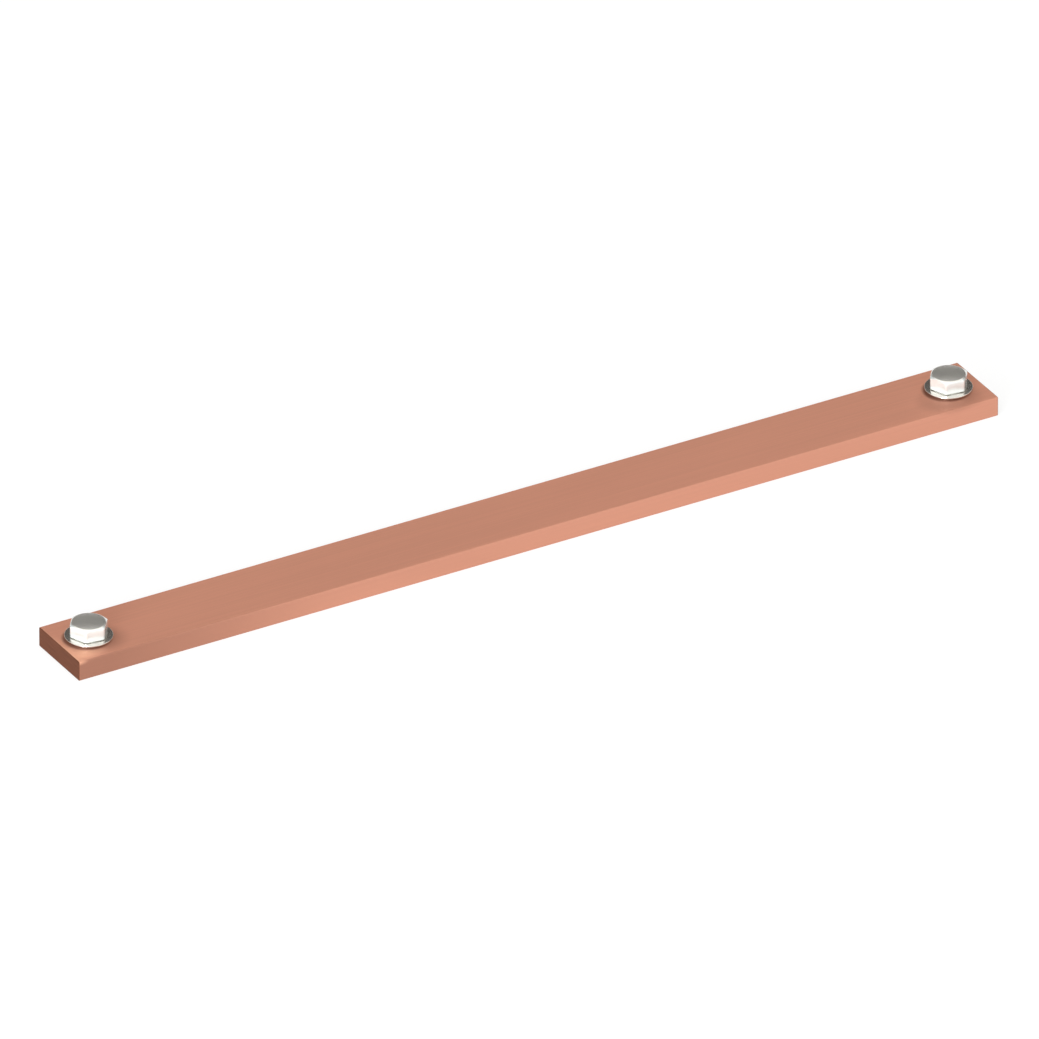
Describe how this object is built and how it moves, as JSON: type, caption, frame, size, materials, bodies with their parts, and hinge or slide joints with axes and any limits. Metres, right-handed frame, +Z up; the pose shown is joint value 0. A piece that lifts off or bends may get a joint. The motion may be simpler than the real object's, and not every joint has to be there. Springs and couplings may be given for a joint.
{
  "type": "copper busbar",
  "caption": "Flat drawn copper bar with rounded long edges and sawn ends, carrying a hexagon terminal screw on a dished spring washer at each end.",
  "frame": {"origin": "middle of the bar's flat underside", "axes": "+X along the bar, +Y across it, +Z up through the screw heads"},
  "size_m": [0.39, 0.03, 0.0143],
  "materials": {
    "copper": "clean drawn copper with fine lines along the bar, duller and browner on the sawn ends",
    "plated_steel": "bright zinc plated steel",
    "spring_steel": "zinc plated spring steel, a little greyer than the screws"
  },
  "bodies": {
    "root": {"copper_bar": "copper", "left_hex_screw": "plated_steel", "right_hex_screw": "plated_steel", "left_spring_washer": "spring_steel", "right_spring_washer": "spring_steel"}
  },
  "joints": []
}
